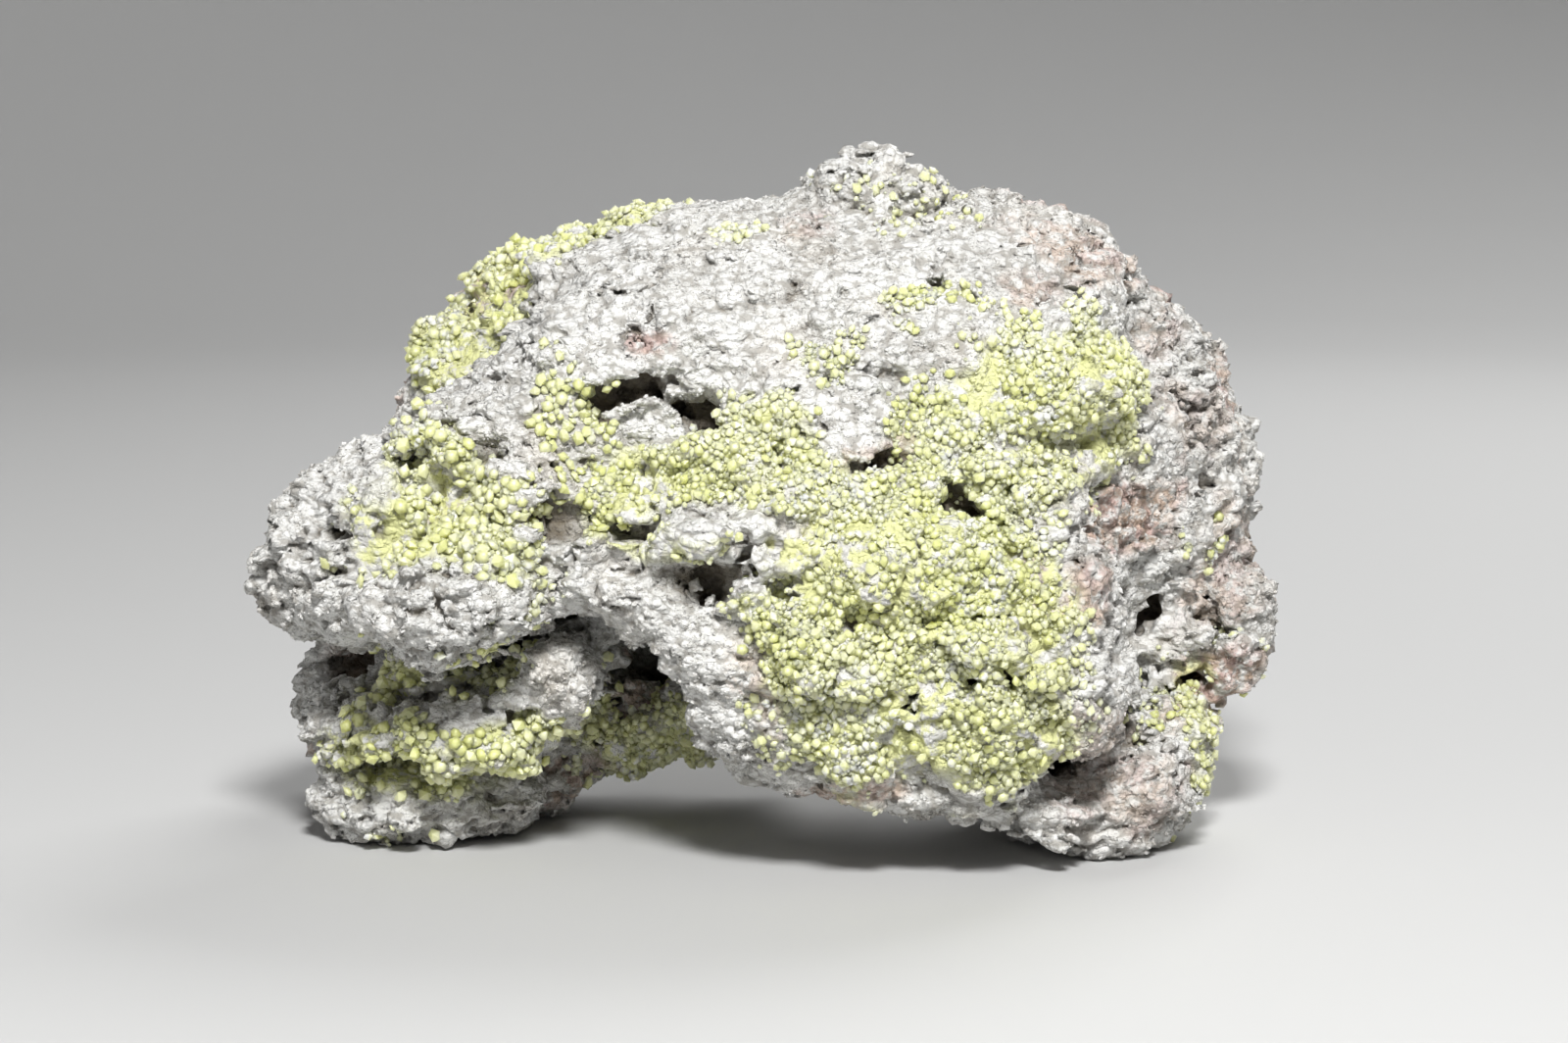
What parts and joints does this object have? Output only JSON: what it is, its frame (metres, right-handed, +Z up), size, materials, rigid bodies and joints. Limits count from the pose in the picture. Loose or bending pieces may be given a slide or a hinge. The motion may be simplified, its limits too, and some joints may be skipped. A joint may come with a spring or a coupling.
{
  "type": "native sulfur specimen on matrix rock",
  "caption": "Pale crumbly volcanic rock standing on its broken feet, with small yellow-green sulfur crystals crusting its front, pockets and ledges.",
  "frame": {"origin": "centre of the specimen's bounding box, on the surface it stands on", "axes": "+X along the block's length, with the overhanging wing at -X; -Y is the crystal-covered front; +Z up"},
  "size_m": [0.12, 0.076, 0.0803],
  "materials": {
    "rock": "crumbly, chalky, off-white to grey, with pink and brown stains",
    "sulfur": "translucent yellow-green crystals with a resinous lustre"
  },
  "bodies": {
    "root": {"matrix_rock": "rock", "sulfur_crust_main": "sulfur", "sulfur_crust_upper_right": "sulfur", "sulfur_crust_left_pocket": "sulfur", "sulfur_crust_ledge": "sulfur", "sulfur_crust_toe": "sulfur", "sulfur_crust_arch_floor": "sulfur", "sulfur_crust_back_left": "sulfur", "sulfur_crust_back": "sulfur", "sulfur_crust_back_foot": "sulfur", "sulfur_crust_right": "sulfur"}
  },
  "joints": []
}
